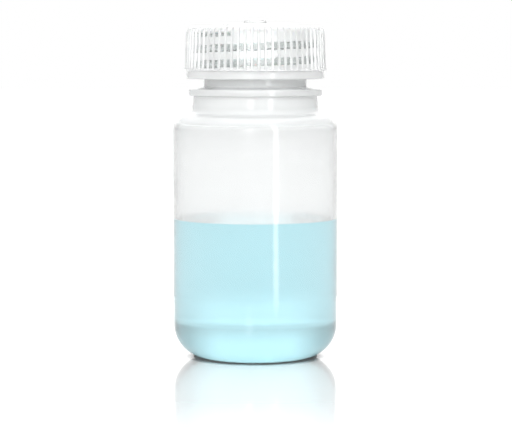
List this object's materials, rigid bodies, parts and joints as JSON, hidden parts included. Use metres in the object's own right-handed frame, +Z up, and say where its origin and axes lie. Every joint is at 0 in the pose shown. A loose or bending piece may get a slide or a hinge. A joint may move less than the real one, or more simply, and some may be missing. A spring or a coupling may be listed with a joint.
{
  "type": "reagent bottle",
  "caption": "Wide-mouth translucent plastic reagent bottle with a ribbed screw cap, partly filled with a pale blue liquid.",
  "frame": {"origin": "on the bottle's axis in the plane that it stands on", "axes": "+Z up along the axis towards the cap, -Y towards the viewer"},
  "size_m": [0.051, 0.051, 0.1052],
  "materials": {
    "bottle_plastic": "satin",
    "cap_plastic": "satin",
    "liner_foam": "matte",
    "reagent": "gloss"
  },
  "bodies": {
    "bottle": {"bottle_body": "bottle_plastic", "reagent_liquid": "reagent"},
    "liner": {"cap_liner": "liner_foam"},
    "cap": {"screw_cap": "cap_plastic"}
  },
  "joints": [
    {"name": "cap_lift", "type": "slide", "parent": "bottle", "child": "liner", "axis": [0, 0, 1], "range_m": [0, 0.0236]},
    {"name": "cap_turn", "type": "hinge", "parent": "liner", "child": "cap", "pos_m": [0, 0, 0.0869], "axis": [0, 0, 1], "range_deg": [0, 1800]}
  ],
  "couplings": [
    {"joint": "cap_lift", "follows": "cap_turn", "m_per_rad": 0.00075121}
  ]
}
